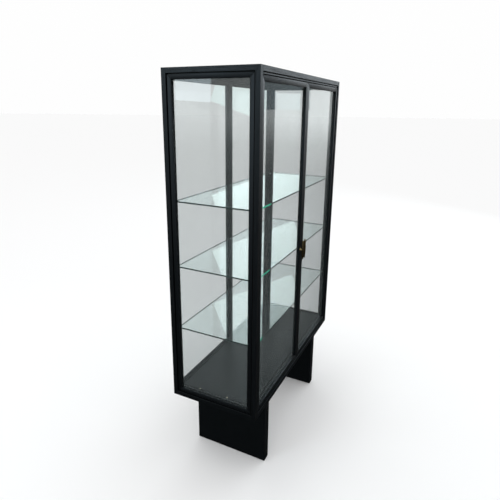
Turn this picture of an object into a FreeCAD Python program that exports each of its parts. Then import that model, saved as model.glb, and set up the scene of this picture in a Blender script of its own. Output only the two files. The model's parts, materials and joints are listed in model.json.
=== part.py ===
"""China cabinet with glass doors, on two slab legs.

Row frame, millimetres: X to the right, Y from the front to the back, Z up.  The origin is on the floor,
under the middle of the whole object's box.  Every shape is first drawn in case coordinates: X from the left
side, Y from the front face, Z from the underside of the case, and moved to the row frame when it is saved.
"""
import FreeCAD, Part
import math
import os

V = FreeCAD.Vector
UP = V(0, 0, 1)
RIGHT = V(1, 0, 0)
INWARD = V(0, 1, 0)         # from the front to the back
FORWARD = V(0, -1, 0)

# ---- overall sizes ----
CASE_WIDTH = 1000.0
CASE_DEPTH = 410.0
CASE_HEIGHT = 1400.0
LEG_LENGTH = 340.0

# ---- carcass: posts, rails and boards ----
POST = 20.0                 # square posts, and the rails on all sides but the front bottom
SILL_RISE = 2.0             # front bottom rail, above the other rails
SILL_HEIGHT = POST + SILL_RISE
BOARD = POST                # top and bottom boards, level with the rails on both faces

# ---- fixed glazed frames, sides and back ----
SETBACK = 4.0               # frames and doors stand this far behind the case faces
REVEAL = 4.0                # shadow groove between a post and a glazed frame
REVEAL_DEPTH = 8.0
FRAME_FACE = 18.0           # visible width of a fixed frame
FRAME_DEPTH = POST - SETBACK   # frames and doors end level with the inner faces of the posts
GLASS = 4.0
GLASS_RECESS = 9.0          # from a frame's face to its glass
REBATE = 6.0                # how far a frame covers its glass
GLASS_PLAY = 1.0            # round the edge of a pane, inside the rebate

# ---- door pivots: the gaps beside and behind a door leave room for its corners to swing ----
PIVOT_INSET = 7.0           # pivot axis from a door's outer edge, and from its face
PIVOT_BACK = FRAME_DEPTH - PIVOT_INSET
SWING_CLEARANCE = 0.6
PIVOT_R = 3.0
PIVOT_PLAY = 0.05           # radial running clearance
BUSH_R = 4.5
BUSH_LENGTH = 10.0
FIT_PLAY = 0.02             # radial, for what is pressed or glued into a hole
PIN_IN_HEAD = 5.0
PIN_IN_SILL = 10.0
PIN_IN_DOOR = 9.0
WASHER_R = 5.5
SEAT_GAP = 0.3              # a moving piece over the seat that carries it

# ---- doors ----
DOOR_FACE = 20.0            # visible width of a door's stiles and rails
DOOR_SIDE_GAP = math.hypot(PIVOT_INSET, PIVOT_INSET) - PIVOT_INSET + SWING_CLEARANCE   # door to post
DOOR_TOP_GAP = 3.5
DOOR_BOTTOM_GAP = 3.5
DOOR_MIDDLE_GAP = 3.0
HEAD_GROOVE = 3.0           # shadow groove under the front top rail
HEAD_STRIP = 5.5            # strip that shows between that groove and the doors
STOP_GAP = math.hypot(PIVOT_INSET, PIVOT_BACK) - PIVOT_BACK + SWING_CLEARANCE   # closed door to its stop

# ---- door catches and bumpers ----
MAGNET_R = 5.0
MAGNET_DEPTH = 6.0
STRIKE_R = 6.0
STRIKE = 1.2
BUMPER_R = 4.0
BUMPER_GAP = 0.4            # a closed door's bumpers to the stop
CATCH_INSET = 45.0          # magnet from a door's free edge
BUMPER_INSET = 9.0          # bumper from a door's free edge

# ---- handles ----
HANDLE_LENGTH = 94.0
HANDLE_MID_R = 6.0
HANDLE_END_R = 4.2
HANDLE_NOSE = 1.5           # rounding at the ends of a bar
HANDLE_INSET = 12.0         # from a door's free edge to the bar's axis
HANDLE_OUT = 13.0           # from a door's face to the bar's axis
HANDLE_HEIGHT = 610.0       # middle of a bar, above the underside of the case
ROSE_R = 8.0
ROSE = 3.0
STEM_R = 4.0
STUD_R = 2.0
STUD = 8.0

# ---- floor inside the case ----
FLOOR_TOP = 40.0
FLOOR_BORDER = 10.0
FLOOR_SEAM = 2.0
FLOOR_PIN_R = 1.2           # round-headed pins that hold the floor board's ends
FLOOR_PIN_IN = 8.0
FLOOR_PIN_HEAD_R = 2.6
FLOOR_PIN_HEAD = 1.2
FLOOR_PIN_INSET = 4.0       # from the floor board's end
FLOOR_PIN_ROWS = (154.0, 292.0)
STOP_DEPTH = 10.0
STOP_DROP = 14.0            # how far the top stop hangs behind a door's top rail

# ---- shelves ----
SHELF = 6.0
SHELF_LEVELS = {"lower": 325.0, "middle": 608.0, "upper": 888.0}   # undersides of the shelves
SHELF_GAP = 3.0             # round a shelf
SHELF_PIN_R = 2.5
SHELF_PIN_IN = 9.0
SHELF_PIN_OUT = 9.0
SHELF_COLLAR_R = 4.0
SHELF_COLLAR = 1.2
SHELF_PIN_FLAT = 1.5        # top of the flattened pin over its axis
SHELF_PIN_SET = 8.0         # pin from the edge of its frame

# ---- legs ----
LEG_THICKNESS = 40.0
LEG_INSET = 150.0           # case side to leg
LEG_FRONT_SETBACK = 20.0
LEG_BACK_SETBACK = 30.0
GLIDE_R = 12.0
GLIDE = 3.0
GLIDE_INSET = 40.0
BOLT_R = 4.0
BOLT_HEAD_R = 7.0
BOLT_HEAD = 5.0
BOLT_IN_LEG = 26.0
BOLTS_PER_LEG = 3
BOLT_END_INSET = 50.0
INSERT_R = 6.5
INSERT = 22.0

# ---- worked-out places, case coordinates ----
FRAME_WIDTH = REVEAL + FRAME_FACE
INNER = SETBACK + FRAME_DEPTH                       # inner face of every glazed frame, and back of a door
DOOR_BOTTOM = SILL_HEIGHT + DOOR_BOTTOM_GAP
HEAD_BOTTOM = CASE_HEIGHT - POST - HEAD_GROOVE - HEAD_STRIP
DOOR_TOP = HEAD_BOTTOM - DOOR_TOP_GAP
DOOR_OUTER = POST + DOOR_SIDE_GAP
DOOR_WIDTH = CASE_WIDTH / 2 - DOOR_MIDDLE_GAP / 2 - DOOR_OUTER
PIVOT_X = DOOR_OUTER + PIVOT_INSET
PIVOT_Y = SETBACK + PIVOT_INSET
STOP_FACE = INNER + STOP_GAP
HANDLE_REACH = HANDLE_OUT + HANDLE_MID_R - SETBACK  # in front of the case's face
ROW_SHIFT = V(-CASE_WIDTH / 2, (HANDLE_REACH - CASE_DEPTH) / 2, LEG_LENGTH)

os.makedirs("parts", exist_ok=True)


def save(name, solids):
    """Write one sub-part, a solid or a list of solids, in the row frame."""
    shape = Part.makeCompound(solids) if isinstance(solids, list) else solids.copy()
    shape.translate(ROW_SHIFT)
    shape.exportStep("parts/" + name + ".step")


def box(x, y, z):
    """A block from three (low, high) pairs."""
    return Part.makeBox(x[1] - x[0], y[1] - y[0], z[1] - z[0], V(x[0], y[0], z[0]))


def rod(radius, start, length, direction):
    return Part.makeCylinder(radius, length, start, direction)


def tube(outer, inner, start, length, direction):
    return rod(outer, start, length, direction).cut(rod(inner, start, length, direction))


def mirrored(shape):
    """The same piece on the other side of the case's middle."""
    return shape.mirror(V(CASE_WIDTH / 2, 0, 0), RIGHT)


def turned(shape, quarter_turns, shift):
    """Turn about the vertical axis through the origin, then move."""
    out = shape.copy()
    out.rotate(V(0, 0, 0), UP, 90 * quarter_turns)
    out.translate(shift)
    return out


# ---- mitred frames ----

def mitred_members(x, z, profile):
    """Four mitred bars round the rectangle x by z.

    The profile is a list of (inset from the rectangle's edge, depth behind its face)."""
    def ring(inset, depth):
        low_x, high_x = x[0] + inset, x[1] - inset
        low_z, high_z = z[0] + inset, z[1] - inset
        return [V(low_x, depth, low_z), V(high_x, depth, low_z),
                V(high_x, depth, high_z), V(low_x, depth, high_z)]

    rings = [ring(inset, depth) for inset, depth in profile]
    members = []
    for k in range(4):
        start = [r[k] for r in rings]
        end = [r[(k + 1) % 4] for r in rings]
        outlines = [start, end]
        for i in range(len(profile)):
            j = (i + 1) % len(profile)
            outlines.append([start[i], start[j], end[j], end[i]])
        faces = [Part.Face(Part.makePolygon(points + points[:1])) for points in outlines]
        member = Part.Solid(Part.Shell(faces))
        if member.Volume < 0:
            member.reverse()
        members.append(member)
    return members


def glazed_panel(x, z, outer_profile, face):
    """Frame members, pane and glazing beads of one panel, its face at Y = 0 and its outer edge x by z.

    outer_profile is the outer edge of the section, from the face to the back."""
    shoulder = face - REBATE
    bead_face = GLASS_RECESS + GLASS
    section = outer_profile + [(shoulder, FRAME_DEPTH), (shoulder, GLASS_RECESS),
                               (face, GLASS_RECESS), (face, 0.0)]
    frame = mitred_members(x, z, section)
    bead = [(shoulder, bead_face), (face, bead_face), (face, FRAME_DEPTH), (shoulder, FRAME_DEPTH)]
    beads = mitred_members(x, z, bead)
    edge = shoulder + GLASS_PLAY
    pane = box((x[0] + edge, x[1] - edge), (GLASS_RECESS, bead_face), (z[0] + edge, z[1] - edge))
    return frame, pane, beads


def fixed_panel(x, z):
    """A fixed panel: its section has a rebated outer edge, which makes the shadow groove."""
    outer = [(REVEAL, 0.0), (REVEAL, REVEAL_DEPTH), (0.0, REVEAL_DEPTH), (0.0, FRAME_DEPTH)]
    return glazed_panel(x, z, outer, FRAME_WIDTH)


# ---- carcass ----

def carcass():
    near = (0.0, POST)
    far_x = (CASE_WIDTH - POST, CASE_WIDTH)
    far_y = (CASE_DEPTH - POST, CASE_DEPTH)
    between_x = (POST, CASE_WIDTH - POST)
    between_y = (POST, CASE_DEPTH - POST)
    top = (CASE_HEIGHT - POST, CASE_HEIGHT)
    bottom = (0.0, POST)
    full = (0.0, CASE_HEIGHT)
    for depth_name, y in (("front", near), ("back", far_y)):
        for side_name, x in (("left", near), ("right", far_x)):
            save("post_" + depth_name + "_" + side_name, box(x, y, full))
        save("top_rail_" + depth_name, box(between_x, y, top))
    for side_name, x in (("left", near), ("right", far_x)):
        save("top_rail_" + side_name, box(x, between_y, top))
        save("bottom_rail_" + side_name, box(x, between_y, bottom))
    save("bottom_rail_back", box(between_x, far_y, bottom))

    sill = box(between_x, near, (0.0, SILL_HEIGHT))
    hole_start = V(PIVOT_X, PIVOT_Y, SILL_HEIGHT - PIN_IN_SILL)
    hole = rod(PIVOT_R + FIT_PLAY, hole_start, PIN_IN_SILL, UP)
    save("bottom_rail_front", sill.cut(hole).cut(mirrored(hole)))

    save("top_board", box(between_x, between_y, (CASE_HEIGHT - BOARD, CASE_HEIGHT)))
    board = box(between_x, between_y, (0.0, BOARD))
    for centre in bolt_centres():
        head_seat = V(centre.x, centre.y, BOARD - BOLT_HEAD)
        board = board.cut(rod(BOLT_R + FIT_PLAY, centre, BOARD, UP))
        board = board.cut(rod(BOLT_HEAD_R + FIT_PLAY, head_seat, BOLT_HEAD, UP))
    save("bottom_board", board)


def door_head_and_stop():
    """The strip that the doors hang from, and the stop that they close against."""
    top = CASE_HEIGHT - POST
    across = (POST, CASE_WIDTH - POST)
    inside = (INNER, CASE_WIDTH - INNER)
    back = STOP_FACE + STOP_DEPTH
    strip = box(across, (SETBACK, POST), (HEAD_BOTTOM, top - HEAD_GROOVE))
    backing = box(across, (SETBACK + REVEAL_DEPTH, POST), (HEAD_BOTTOM, top))
    rear = box(inside, (POST, back), (HEAD_BOTTOM, top))
    head = strip.fuse([backing, rear]).removeSplitter()
    hole = rod(PIVOT_R + FIT_PLAY, V(PIVOT_X, PIVOT_Y, HEAD_BOTTOM), PIN_IN_HEAD, UP)
    save("door_head", head.cut(hole).cut(mirrored(hole)))

    stop = box(inside, (STOP_FACE, back), (DOOR_TOP - STOP_DROP, HEAD_BOTTOM))
    socket = rod(MAGNET_R + FIT_PLAY, V(catch_x(), STOP_FACE, catch_z()), MAGNET_DEPTH, INWARD)
    save("door_stop", stop.cut(socket).cut(mirrored(socket)))
    front = INNER + STRIKE + SEAT_GAP
    magnet = rod(MAGNET_R, V(catch_x(), front, catch_z()), STOP_FACE + MAGNET_DEPTH - front, INWARD)
    save("catch_magnets", [magnet, mirrored(magnet)])


def catch_x():
    return CASE_WIDTH / 2 - DOOR_MIDDLE_GAP / 2 - CATCH_INSET


def catch_z():
    return DOOR_TOP - STOP_DROP / 2


def pivots():
    """Fixed pins in the sill and the head, and the washers that carry the doors."""
    lower_start = V(PIVOT_X, PIVOT_Y, SILL_HEIGHT - PIN_IN_SILL)
    upper_start = V(PIVOT_X, PIVOT_Y, DOOR_TOP - PIN_IN_DOOR)
    lower_pin = rod(PIVOT_R, lower_start, PIN_IN_SILL + DOOR_BOTTOM_GAP + PIN_IN_DOOR, UP)
    upper_pin = rod(PIVOT_R, upper_start, PIN_IN_DOOR + DOOR_TOP_GAP + PIN_IN_HEAD, UP)
    save("pivot_pins", [lower_pin, upper_pin, mirrored(lower_pin), mirrored(upper_pin)])
    seat = V(PIVOT_X, PIVOT_Y, SILL_HEIGHT)
    washer = tube(WASHER_R, PIVOT_R + FIT_PLAY, seat, DOOR_BOTTOM_GAP - SEAT_GAP, UP)
    save("pivot_washers", [washer, mirrored(washer)])


def inside_floor():
    """The floor board, its pins and the border that frames it, laid on the bottom board."""
    x = (INNER, CASE_WIDTH - INNER)
    y = (STOP_FACE, CASE_DEPTH - INNER)
    z = (BOARD, FLOOR_TOP)
    inner_x = (x[0] + FLOOR_BORDER, x[1] - FLOOR_BORDER)
    inner_y = (y[0] + FLOOR_BORDER, y[1] - FLOOR_BORDER)
    save("floor_border", [box((x[0], inner_x[0]), y, z), box((inner_x[1], x[1]), y, z),
                          box(inner_x, (y[0], inner_y[0]), z), box(inner_x, (inner_y[1], y[1]), z)])
    board = box((inner_x[0] + FLOOR_SEAM, inner_x[1] - FLOOR_SEAM),
                (inner_y[0] + FLOOR_SEAM, inner_y[1] - FLOOR_SEAM), z)
    pins = []
    for y_pin in FLOOR_PIN_ROWS:
        seat = V(inner_x[0] + FLOOR_SEAM + FLOOR_PIN_INSET, y_pin, FLOOR_TOP)
        shank_foot = seat - UP * FLOOR_PIN_IN
        board = board.cut(rod(FLOOR_PIN_R, shank_foot, FLOOR_PIN_IN, UP))
        board = board.cut(mirrored(rod(FLOOR_PIN_R, shank_foot, FLOOR_PIN_IN, UP)))
        pin = rod(FLOOR_PIN_R, shank_foot, FLOOR_PIN_IN, UP).fuse(rod(FLOOR_PIN_HEAD_R, seat, FLOOR_PIN_HEAD, UP))
        pins += [pin, mirrored(pin)]
    save("floor_board", board)
    save("floor_pins", pins)


# ---- fixed glazing, with the holes for the shelf pins ----

def shelf_pin(start, direction):
    """One shelf pin along the direction: a stub in the frame, a collar, and a tongue with a flat top."""
    stub = rod(SHELF_PIN_R, start - direction * SHELF_PIN_IN, SHELF_PIN_IN, direction)
    collar = rod(SHELF_COLLAR_R, start, SHELF_COLLAR, direction)
    tongue = rod(SHELF_PIN_R, start, SHELF_PIN_OUT, direction)
    reach = SHELF_COLLAR_R + SHELF_PIN_OUT
    over_flat = box((start.x - reach, start.x + reach), (start.y - reach, start.y + reach),
                    (start.z + SHELF_PIN_FLAT, start.z + reach))
    inside_part = collar.fuse(tongue).cut(over_flat)
    return stub.fuse(inside_part).removeSplitter()


def pin_hole(start, direction):
    return rod(SHELF_PIN_R + FIT_PLAY, start - direction * SHELF_PIN_IN, SHELF_PIN_IN, direction)


def side_pin_places():
    """Start points of the pins in the left side frame, on its inner face."""
    ys = (POST + SHELF_PIN_SET, CASE_DEPTH - POST - SHELF_PIN_SET)
    return [V(INNER, y, level - SHELF_PIN_FLAT) for level in SHELF_LEVELS.values() for y in ys]


def back_pin_places():
    """Start points of the pins in the left back frame's middle stile, on its inner face."""
    x = CASE_WIDTH / 2 - SHELF_PIN_SET
    return [V(x, CASE_DEPTH - INNER, level - SHELF_PIN_FLAT) for level in SHELF_LEVELS.values()]


def bored(members, places, direction):
    out = []
    for member in members:
        for place in places:
            hole = pin_hole(place, direction)
            if member.BoundBox.intersect(hole.BoundBox):
                member = member.cut(hole)
        out += member.Solids
    return out


def fixed_glazing():
    z = (POST, CASE_HEIGHT - POST)
    frame, pane, beads = fixed_panel((POST - CASE_DEPTH, -POST), z)
    shift = V(SETBACK, 0, 0)
    left = [turned(part, -1, shift) for part in frame]
    left = bored(left, side_pin_places(), RIGHT)
    left_pane = turned(pane, -1, shift)
    left_beads = [turned(part, -1, shift) for part in beads]
    save("left_side_frame", left)
    save("left_side_glass", left_pane)
    save("left_side_beads", left_beads)
    save("right_side_frame", [mirrored(part) for part in left])
    save("right_side_glass", mirrored(left_pane))
    save("right_side_beads", [mirrored(part) for part in left_beads])

    frame, pane, beads = fixed_panel((-CASE_WIDTH / 2, -POST), z)
    shift = V(0, CASE_DEPTH - SETBACK, 0)
    back = [turned(part, 2, shift) for part in frame]
    back = bored(back, back_pin_places(), FORWARD)
    back_pane = turned(pane, 2, shift)
    back_beads = [turned(part, 2, shift) for part in beads]
    save("back_left_frame", back)
    save("back_left_glass", back_pane)
    save("back_left_beads", back_beads)
    save("back_right_frame", [mirrored(part) for part in back])
    save("back_right_glass", mirrored(back_pane))
    save("back_right_beads", [mirrored(part) for part in back_beads])


def shelves():
    x = (INNER + SHELF_GAP, CASE_WIDTH - INNER - SHELF_GAP)
    y = (STOP_FACE, CASE_DEPTH - INNER - SHELF_GAP)
    for name, level in SHELF_LEVELS.items():
        save("shelf_" + name, box(x, y, (level, level + SHELF)))
    side = [shelf_pin(place, RIGHT) for place in side_pin_places()]
    back = [shelf_pin(place, FORWARD) for place in back_pin_places()]
    pins = side + back
    save("shelf_pins", pins + [mirrored(pin) for pin in pins])


# ---- doors ----

def left_door():
    """Every piece of the left door, by name."""
    x = (DOOR_OUTER, DOOR_OUTER + DOOR_WIDTH)
    z = (DOOR_BOTTOM, DOOR_TOP)
    frame, pane, beads = glazed_panel(x, z, [(0.0, 0.0), (0.0, FRAME_DEPTH)], DOOR_FACE)
    frame = [turned(part, 0, V(0, SETBACK, 0)) for part in frame]
    pane = turned(pane, 0, V(0, SETBACK, 0))
    beads = [turned(part, 0, V(0, SETBACK, 0)) for part in beads]

    axis_low = V(PIVOT_X, PIVOT_Y, DOOR_BOTTOM)
    axis_high = V(PIVOT_X, PIVOT_Y, DOOR_TOP - BUSH_LENGTH)
    ends = (axis_low, axis_high)
    bushes = [tube(BUSH_R, PIVOT_R + PIVOT_PLAY, end, BUSH_LENGTH, UP) for end in ends]
    cuts = [rod(BUSH_R + FIT_PLAY, end, BUSH_LENGTH, UP) for end in ends]
    handle_x = x[1] - HANDLE_INSET
    cuts.append(rod(STUD_R + FIT_PLAY, V(handle_x, SETBACK, HANDLE_HEIGHT), STUD, INWARD))
    drilled = []
    for member in frame:
        for cut in cuts:
            if member.BoundBox.intersect(cut.BoundBox):
                member = member.cut(cut)
        drilled += member.Solids

    bar, stem = handle(handle_x)
    bumper_x = x[1] - BUMPER_INSET
    low_z = (DOOR_BOTTOM + FLOOR_TOP) / 2
    bumper = STOP_GAP - BUMPER_GAP
    bumpers = [rod(BUMPER_R, V(bumper_x, INNER, level), bumper, INWARD) for level in (low_z, catch_z())]
    strike = rod(STRIKE_R, V(catch_x(), INNER, catch_z()), STRIKE, INWARD)
    return {"door_frame": drilled, "door_glass": [pane], "door_beads": beads, "door_bushes": bushes,
            "handle_bar": [bar], "handle_stem": [stem], "door_bumpers": bumpers, "door_strike": [strike]}


def handle(x):
    """A tapered bar on a short stem, and the stem with its rose and the stud that screws into the stile."""
    y = SETBACK - HANDLE_OUT
    half = HANDLE_LENGTH / 2
    shoulder = half - HANDLE_NOSE
    nose = HANDLE_NOSE * math.sin(math.radians(45))
    top_in = V(HANDLE_END_R - HANDLE_NOSE, 0, half)
    nose_mid = V(HANDLE_END_R - HANDLE_NOSE + nose, 0, shoulder + nose)
    top_out = V(HANDLE_END_R, 0, shoulder)
    low_in = V(top_in.x, 0, -half)
    low_mid = V(nose_mid.x, 0, -nose_mid.z)
    low_out = V(top_out.x, 0, -shoulder)
    side = Part.Arc(top_out, V(HANDLE_MID_R, 0, 0), low_out)
    wire = Part.Wire([Part.makeLine(V(0, 0, half), top_in), Part.Arc(top_in, nose_mid, top_out).toShape(),
                      side.toShape(), Part.Arc(low_out, low_mid, low_in).toShape(),
                      Part.makeLine(low_in, V(0, 0, -half)), Part.makeLine(V(0, 0, -half), V(0, 0, half))])
    bar = Part.Face(wire).revolve(V(0, 0, 0), UP, 360)
    bar.translate(V(x, y, HANDLE_HEIGHT))
    rose = rod(ROSE_R, V(x, SETBACK - ROSE, HANDLE_HEIGHT), ROSE, INWARD)
    stem = rod(STEM_R, V(x, y, HANDLE_HEIGHT), HANDLE_OUT, INWARD)
    stud = rod(STUD_R, V(x, SETBACK, HANDLE_HEIGHT), STUD, INWARD)
    return bar, rose.fuse([stem, stud]).removeSplitter().cut(bar)


def doors():
    for name, solids in left_door().items():
        save("left_" + name, solids)
        save("right_" + name, [mirrored(solid) for solid in solids])


# ---- legs ----

def leg_y():
    return (LEG_FRONT_SETBACK, CASE_DEPTH - LEG_BACK_SETBACK)


def bolt_centres():
    """Where the leg bolts stand, in both legs."""
    low, high = leg_y()
    step = (high - low - 2 * BOLT_END_INSET) / (BOLTS_PER_LEG - 1)
    left = LEG_INSET + LEG_THICKNESS / 2
    return [V(x, low + BOLT_END_INSET + step * i, 0)
            for x in (left, CASE_WIDTH - left) for i in range(BOLTS_PER_LEG)]


def legs():
    x = (LEG_INSET, LEG_INSET + LEG_THICKNESS)
    y = leg_y()
    left = box(x, y, (GLIDE - LEG_LENGTH, 0.0))
    left_centres = bolt_centres()[:BOLTS_PER_LEG]
    for centre in left_centres:
        left = left.cut(rod(INSERT_R + FIT_PLAY, V(centre.x, centre.y, -INSERT), INSERT, UP))
        left = left.cut(rod(BOLT_R + FIT_PLAY, V(centre.x, centre.y, -BOLT_IN_LEG), BOLT_IN_LEG, UP))
    save("left_leg", left)
    save("right_leg", mirrored(left))

    bolts = []
    inserts = []
    for centre in left_centres:
        shank = rod(BOLT_R, V(centre.x, centre.y, -BOLT_IN_LEG), BOLT_IN_LEG + BOARD - BOLT_HEAD, UP)
        head = rod(BOLT_HEAD_R, V(centre.x, centre.y, BOARD - BOLT_HEAD), BOLT_HEAD, UP)
        bolts.append(shank.fuse(head).removeSplitter())
        inserts.append(tube(INSERT_R, BOLT_R + FIT_PLAY, V(centre.x, centre.y, -INSERT), INSERT, UP))
    save("leg_bolts", bolts + [mirrored(bolt) for bolt in bolts])
    save("leg_inserts", inserts + [mirrored(insert) for insert in inserts])

    ends = (y[0] + GLIDE_INSET, y[1] - GLIDE_INSET)
    middle = (x[0] + x[1]) / 2
    glides = [rod(GLIDE_R, V(middle, end, -LEG_LENGTH), GLIDE, UP) for end in ends]
    save("leg_glides", glides + [mirrored(glide) for glide in glides])


carcass()
door_head_and_stop()
pivots()
inside_floor()
fixed_glazing()
shelves()
doors()
legs()
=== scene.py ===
# %% [markdown]
# # A display cabinet in black-stained ash, glazed on four sides
#
# The cabinet is a case of square posts and rails on two slab legs.  Each side holds a mitred frame with a
# pane of glass, the back holds two, and the front has two glass doors on pivots.  Three glass shelves stand
# on pins.  The working model is loaded first as a fixed frame, and every piece below is drawn around it, so
# all places come from the frame's own boxes.

# %% Load the frame
import json
import math
import random

import bmesh
import bpy
from mathutils import Matrix, Vector


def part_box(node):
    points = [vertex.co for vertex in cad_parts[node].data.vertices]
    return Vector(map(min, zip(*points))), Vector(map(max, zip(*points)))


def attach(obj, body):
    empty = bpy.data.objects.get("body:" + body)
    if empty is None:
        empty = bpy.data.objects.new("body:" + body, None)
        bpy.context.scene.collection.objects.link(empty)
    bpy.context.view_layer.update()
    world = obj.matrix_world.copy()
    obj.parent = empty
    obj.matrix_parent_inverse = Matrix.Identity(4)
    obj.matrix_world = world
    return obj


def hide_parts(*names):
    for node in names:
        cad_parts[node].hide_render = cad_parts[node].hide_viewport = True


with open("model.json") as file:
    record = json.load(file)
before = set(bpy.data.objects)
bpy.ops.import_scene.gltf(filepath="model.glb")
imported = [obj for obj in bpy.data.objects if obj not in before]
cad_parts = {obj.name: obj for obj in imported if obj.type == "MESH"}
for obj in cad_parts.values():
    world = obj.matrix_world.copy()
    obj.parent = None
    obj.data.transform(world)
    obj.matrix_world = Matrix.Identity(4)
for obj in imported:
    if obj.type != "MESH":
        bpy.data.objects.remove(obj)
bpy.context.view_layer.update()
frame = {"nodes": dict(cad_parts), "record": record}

MM = 0.001
BODY_OF = {node: body for body, nodes in frame["record"]["behaviour"]["bodies"].items() for node in nodes}

# %% [markdown]
# ## Small helpers
#
# Shader trees and Geometry Nodes trees are both made of nodes and links.  One helper adds a node to either:
# a plain value goes onto a socket, and another node's output is linked to it.  Another starts a material.

# %% Helper for node trees
def add(tree, kind, inputs=None, **settings):
    """Add a node, set its options, then set or link its inputs by name or number."""
    made = tree.nodes.new(kind)
    for key, value in settings.items():
        setattr(made, key, value)
    for key, value in (inputs or {}).items():
        if isinstance(value, bpy.types.NodeSocket):
            tree.links.new(value, made.inputs[key])
        else:
            made.inputs[key].default_value = value
    return made


def maths(tree, operation, first, second=0.0, third=0.0):
    """One sum on numbers; works in shader and geometry trees alike."""
    made = add(tree, "ShaderNodeMath", {0: first, 1: second, 2: third}, operation=operation)
    return made.outputs[0]


def finish_shader(name):
    """A material with an empty tree, and that tree."""
    made = bpy.data.materials.new(name)
    made.use_nodes = True
    made.node_tree.nodes.clear()
    return made, made.node_tree


# %% [markdown]
# ## The camera
#
# The cabinet is seen from its left front corner, from eye height.  A fairly wide lens stands close, which
# gives the strong convergence.  The place and the angles are written out, and a small shift of the lens sets
# the tall case in the middle of the picture.

# %% Camera
CAMERA_PLACE = Vector((-1.869, -0.834, 1.595))
CAMERA_TURN = math.radians(64.26)      # to the right of the case's own front-to-back direction
CAMERA_TILT = math.radians(15.18)      # down
CAMERA_ROLL = math.radians(0.68)
LENS_MM = 30.9
SHIFT = (-0.005, -0.049)


def make_camera():
    """The camera, turned to the right from straight ahead, then tilted down, then rolled a little."""
    data = bpy.data.cameras.new("camera")
    data.lens = LENS_MM
    data.sensor_width = 36.0
    data.shift_x, data.shift_y = SHIFT
    data.clip_start = 0.05
    data.clip_end = 100.0
    camera = bpy.data.objects.new("camera", data)
    turn = Matrix.Rotation(-CAMERA_TURN, 4, "Z")
    tilt = Matrix.Rotation(math.pi / 2 - CAMERA_TILT, 4, "X")
    roll = Matrix.Rotation(CAMERA_ROLL, 4, "Z")
    camera.matrix_world = Matrix.Translation(CAMERA_PLACE) @ turn @ tilt @ roll
    bpy.context.scene.collection.objects.link(camera)
    bpy.context.scene.camera = camera
    return camera


camera = make_camera()
bpy.context.scene.view_settings.view_transform = "Standard"
print("camera", [round(v, 2) for v in camera.location], "lens", LENS_MM, "mm")

# %% [markdown]
# ## The studio
#
# Black satin wood and clear glass show almost nothing but what they mirror, so the surroundings matter as
# much as the light on them.  The sky is white from eye level up and dark below.  The floor is a plain pale
# sheet, but it is hidden from mirror rays: they see the dark lower half of the sky instead, which keeps the
# wood near black low down and lets it brighten towards the top, as it does in a room with high windows.
#
# Window cards and softboxes give the bright patches.  A window card leans behind the cabinet, where the
# shelves mirror it.  A small one and a wide softbox stand far out in front, for the doors' glass and the
# front rails, and another pair at the side does the same for the side pane.  Two plain sheets light nothing.
# The camera alone sees the first, which is the window behind as it shows through the top of the panes.
# Mirror rays alone see the second, a grey flag that darkens the top of the left door.
#
# Cards and sheets are set out from the camera's own place by a bearing, a climb and a distance.  One that is
# meant to be seen in an upright pane is then reflected in that pane's plane.

# %% Floor, sky and lamps
FLOOR_SIZE = 240.0
FLOOR_COLOUR = (0.955, 0.955, 0.955, 1.0)
# height of a direction (-1 down, 1 up) and how bright the sky is there
SKY = [(-0.60, 0.015), (-0.35, 0.045), (-0.16, 0.12), (-0.08, 0.36), (-0.02, 0.99), (0.60, 1.0), (1.0, 1.0)]


def make_sky():
    world = bpy.data.worlds.new("studio_sky")
    bpy.context.scene.world = world
    world.use_nodes = True
    tree = world.node_tree
    tree.nodes.clear()
    direction = add(tree, "ShaderNodeTexCoord").outputs["Generated"]
    height = add(tree, "ShaderNodeSeparateXYZ", {0: direction}).outputs["Z"]
    share = add(tree, "ShaderNodeMapRange", {"Value": height, "From Min": -1.0, "From Max": 1.0}).outputs[0]
    ramp_node = add(tree, "ShaderNodeValToRGB", {"Fac": share})
    stops = ramp_node.color_ramp.elements
    while len(stops) < len(SKY):
        stops.new(0.5)
    for stop, (where, level) in zip(stops, SKY):
        stop.position = (where + 1) / 2
        stop.color = (level, level, level, 1.0)
    shade = add(tree, "ShaderNodeBackground", {"Color": ramp_node.outputs["Color"]})
    add(tree, "ShaderNodeOutputWorld", {"Surface": shade.outputs[0]})


def flat_sheet(name, place, width, height, finish):
    """A flat sheet with one finish, for the stage."""
    x, y = width / 2, height / 2
    mesh = bpy.data.meshes.new(name)
    corners = [place @ Vector(corner) for corner in ((-x, -y, 0), (x, -y, 0), (x, y, 0), (-x, y, 0))]
    mesh.from_pydata(corners, [], [(0, 1, 2, 3)])
    mesh.materials.append(finish)
    sheet = bpy.data.objects.new(name, mesh)
    bpy.context.scene.collection.objects.link(sheet)
    return sheet


def make_floor():
    paint, tree = finish_shader("pale_floor")
    shade = add(tree, "ShaderNodeBsdfDiffuse", {"Color": FLOOR_COLOUR})
    add(tree, "ShaderNodeOutputMaterial", {"Surface": shade.outputs[0]})
    floor = flat_sheet("studio_floor", Matrix.Identity(4), FLOOR_SIZE, FLOOR_SIZE, paint)
    floor.visible_glossy = False


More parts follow.
